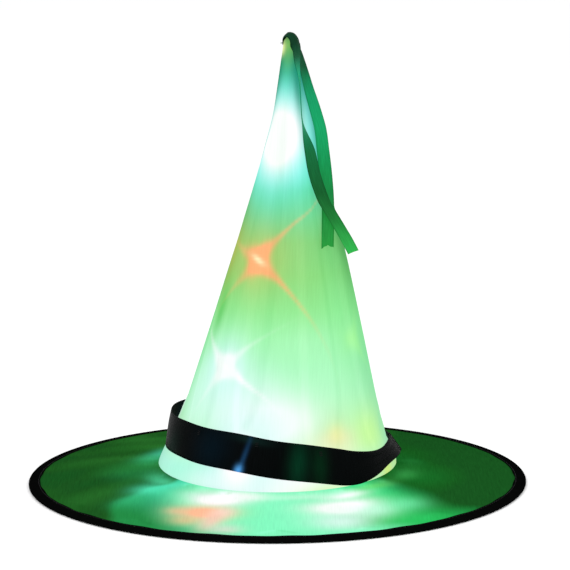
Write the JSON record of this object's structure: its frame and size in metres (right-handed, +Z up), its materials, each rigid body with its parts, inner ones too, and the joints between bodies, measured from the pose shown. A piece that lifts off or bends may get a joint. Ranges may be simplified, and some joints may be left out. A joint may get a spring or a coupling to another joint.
{
  "type": "light-up witch hat",
  "caption": "Pointed fabric witch hat with hooped brim, ribbon band, hanging ribbon and battery lamp string inside.",
  "frame": {"origin": "on the table, under the centre of the brim, at the height of the brim's bound edge", "axes": "+Z up along the crown to the tip, -Y towards the front, +X towards the band's gathered end and the hanging ribbon"},
  "size_m": [0.3794, 0.3794, 0.343],
  "materials": {
    "crown_cloth": "woven",
    "brim_cloth": "woven",
    "black_tape": "ribbed",
    "spring_steel": "bright",
    "steel": "bright",
    "black_satin": "satin",
    "black_thread": "matte",
    "green_satin": "satin",
    "green_thread": "matte",
    "pale_thread": "matte",
    "lead_cover": "satin",
    "lamp_yellow": "gloss",
    "lamp_orange": "gloss",
    "lamp_green": "gloss",
    "lamp_blue": "gloss",
    "lamp_white": "gloss",
    "loop_cloth": "brushed",
    "hook_tape": "matte",
    "case_plastic": "satin",
    "cell_steel": "bright",
    "brass": "bright",
    "switch_plastic": "matte",
    "knob_plastic": "matte",
    "resistor_body": "satin",
    "grommet_rubber": "matte"
  },
  "bodies": {
    "hat": {"crown": "crown_cloth", "brim": "brim_cloth", "brim_binding": "black_tape", "brim_hoop": "spring_steel", "hoop_ferrule": "steel", "head_tape": "black_tape", "hat_band": "black_satin", "band_gather_thread": "black_thread", "band_tacks": "black_thread", "ribbon_tip_fold": "green_satin", "ribbon_tack": "green_thread", "lamp_lead": "lead_cover", "lead_tacks": "pale_thread", "lamps_yellow": "lamp_yellow", "lamps_orange": "lamp_orange", "lamps_green": "lamp_green", "lamps_blue": "lamp_blue", "lamps_white": "lamp_white", "lamp_legs": "steel", "lamp_sleeves": "lead_cover", "loop_patch": "loop_cloth", "hook_patch": "hook_tape", "case_tray": "case_plastic", "coin_cell_lower": "cell_steel", "coin_cell_upper": "cell_steel", "contact_spring": "brass", "contact_leaf": "brass", "switch_housing": "switch_plastic", "resistor": "resistor_body", "lead_grommet": "grommet_rubber"},
    "ribbon": {"ribbon_tail_left": "green_satin", "ribbon_tail_right": "green_satin"},
    "lid": {"case_lid": "case_plastic", "lid_screw": "steel"},
    "switch": {"switch_slider": "knob_plastic"}
  },
  "joints": [
    {"name": "ribbon_swing", "type": "hinge", "parent": "hat", "child": "ribbon", "pos_m": [0.01623, -0.00405, 0.3332], "axis": [-0.6428, -0.766, 0], "range_deg": [0, 120]},
    {"name": "lid_lift", "type": "slide", "parent": "hat", "child": "lid", "axis": [0, -0.9511, -0.309], "range_m": [0, 0.025]},
    {"name": "switch_slide", "type": "slide", "parent": "hat", "child": "switch", "axis": [-1, 0, 0], "range_m": [0, 0.002]}
  ]
}
